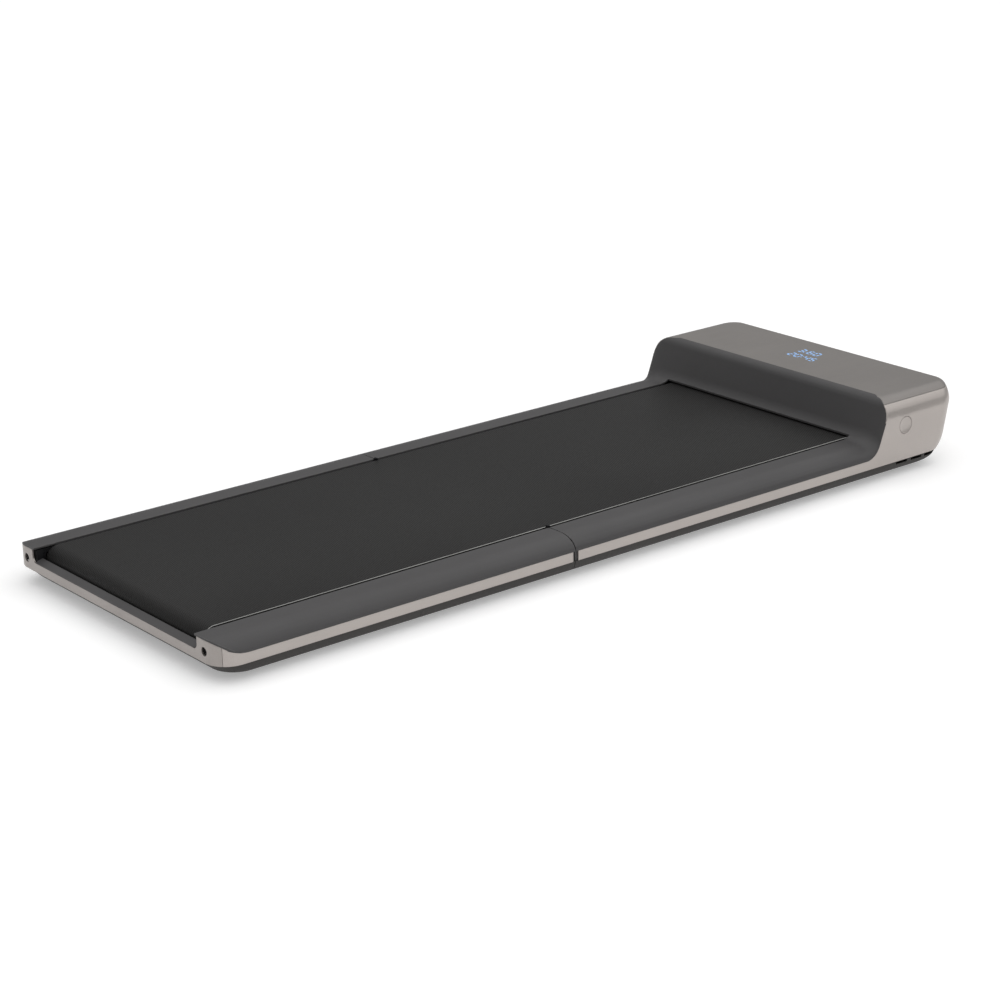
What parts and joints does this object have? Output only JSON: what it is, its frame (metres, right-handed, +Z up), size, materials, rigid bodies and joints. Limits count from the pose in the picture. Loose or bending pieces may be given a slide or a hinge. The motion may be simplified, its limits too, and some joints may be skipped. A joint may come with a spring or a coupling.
{
  "type": "walking pad",
  "caption": "Low walking pad that folds in half, with a wide running belt between dark side rails, a raised motor head, a round side button and a display that shines through its cover.",
  "frame": {"origin": "on the floor, under the middle of the open pad's length and width", "axes": "+Z up, +Y from the tail towards the head, +X to the walker's right"},
  "size_m": [0.547, 1.4321, 0.131],
  "materials": {
    "dark_plastic": "satin",
    "light_plastic": "satin",
    "cover_plastic": "satin",
    "base_plastic": "matte",
    "belt": "matte, woven",
    "frame_paint": "satin",
    "steel": "brushed",
    "black_steel": "dark zinc",
    "deck": "pressed board",
    "rubber": "matte",
    "aluminium": "machined",
    "motor_can": "satin",
    "board": "solder mask",
    "black_plastic": "moulded",
    "brass": "plated",
    "lead": "insulation"
  },
  "bodies": {
    "front": {"front_trim": "dark_plastic", "front_side_panel_right": "light_plastic", "front_side_panel_left": "light_plastic", "head_front_panel": "light_plastic", "head_top_cover": "cover_plastic", "front_base_tray": "base_plastic", "running_belt_front": "belt", "front_chassis": "frame_paint", "motor_bracket": "frame_paint", "front_roller_axle": "steel", "wheel_axles": "steel", "hinge_pins": "steel", "hinge_arms_front": "steel", "front_roller_bearings": "steel", "front_tray_screws": "black_steel", "front_deck_board": "deck", "front_feet": "rubber", "front_deck_cushions": "rubber", "drive_belt": "rubber", "heat_sink": "aluminium", "motor_housing": "motor_can", "control_board": "board", "display_board": "board", "control_components": "black_plastic", "display_modules": "black_plastic", "button_housing": "black_plastic", "button_switch": "black_plastic", "power_inlet": "black_plastic", "switch_frame": "black_plastic", "inlet_pins": "brass", "inlet_lead": "lead", "motor_lead": "lead"},
    "tail": {"tail_rail_cover_right": "dark_plastic", "tail_rail_cover_left": "dark_plastic", "tail_side_strip_right": "light_plastic", "tail_side_strip_left": "light_plastic", "rear_end_plate": "light_plastic", "rear_sill": "dark_plastic", "tail_tray_rear": "base_plastic", "tail_tray_front": "base_plastic", "tail_tray_screws": "black_steel", "tail_feet": "rubber", "tail_chassis": "frame_paint", "rear_roller_axle": "steel", "tension_bolts": "black_steel", "rear_roller_bearings": "steel", "tail_deck_board": "deck", "tail_deck_cushions": "rubber", "running_belt_tail": "belt", "hinge_arms_tail": "steel"},
    "front_roller": {"front_roller": "steel", "roller_pulley": "aluminium"},
    "rear_roller": {"rear_roller": "steel"},
    "motor": {"motor_rotor": "steel", "motor_pulley": "aluminium", "motor_fan": "black_plastic"},
    "wheel_right": {"transport_wheel_right": "rubber"},
    "wheel_left": {"transport_wheel_left": "rubber"},
    "button": {"side_button": "light_plastic"},
    "rocker": {"power_rocker": "black_plastic"}
  },
  "joints": [
    {"name": "tail_fold", "type": "hinge", "parent": "front", "child": "tail", "pos_m": [0, -0.106, 0.0636], "axis": [-1, 0, 0], "range_deg": [0, 180]},
    {"name": "motor_spin", "type": "hinge", "parent": "front", "child": "motor", "pos_m": [-0.115, 0.64, 0.068], "axis": [1, 0, 0], "continuous": true},
    {"name": "front_roller_spin", "type": "hinge", "parent": "front", "child": "front_roller", "pos_m": [0, 0.562, 0.0432], "axis": [1, 0, 0], "continuous": true},
    {"name": "rear_roller_spin", "type": "hinge", "parent": "tail", "child": "rear_roller", "pos_m": [0, -0.68, 0.0432], "axis": [1, 0, 0], "continuous": true},
    {"name": "wheel_right_spin", "type": "hinge", "parent": "front", "child": "wheel_right", "pos_m": [0.215, 0.666, 0.024], "axis": [1, 0, 0], "continuous": true},
    {"name": "wheel_left_spin", "type": "hinge", "parent": "front", "child": "wheel_left", "pos_m": [-0.215, 0.666, 0.024], "axis": [1, 0, 0], "continuous": true},
    {"name": "button_press", "type": "slide", "parent": "front", "child": "button", "axis": [-1, 0, 0], "range_m": [0, 0.002], "stiffness_N_per_m": 500},
    {"name": "rocker_tilt", "type": "hinge", "parent": "front", "child": "rocker", "pos_m": [0.168, 0.69, 0.066], "axis": [1, 0, 0], "range_deg": [-16, 0]}
  ],
  "couplings": [
    {"joint": "front_roller_spin", "follows": "motor_spin", "ratio": 0.42308},
    {"joint": "rear_roller_spin", "follows": "motor_spin", "ratio": 0.42308}
  ]
}
